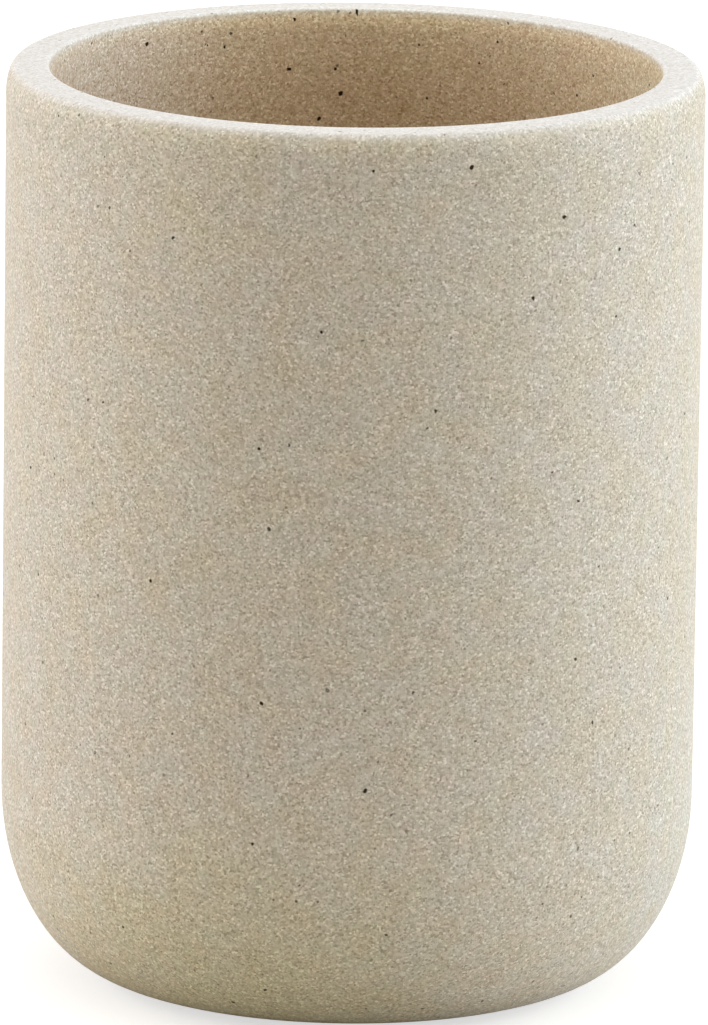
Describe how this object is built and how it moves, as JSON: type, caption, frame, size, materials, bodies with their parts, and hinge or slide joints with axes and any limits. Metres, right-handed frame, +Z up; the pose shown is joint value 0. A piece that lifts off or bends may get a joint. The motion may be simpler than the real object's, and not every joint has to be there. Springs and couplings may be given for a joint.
{
  "type": "toothbrush holder",
  "caption": "Plain round bathroom tumbler for toothbrushes, cast in sand-filled resin, with a thick flat rim, a soft rounded base and bumper feet.",
  "frame": {"origin": "middle of the footprint, on the surface that the feet stand on", "axes": "+Z up along the cup's axis; -Y towards the side that the picture shows"},
  "size_m": [0.075, 0.075, 0.1],
  "materials": {
    "sandstone_resin": "matte",
    "clear_bumper": "satin"
  },
  "bodies": {
    "root": {"cup": "sandstone_resin", "foot_front_left": "clear_bumper", "foot_front_right": "clear_bumper", "foot_back_left": "clear_bumper", "foot_back_right": "clear_bumper"}
  },
  "joints": []
}
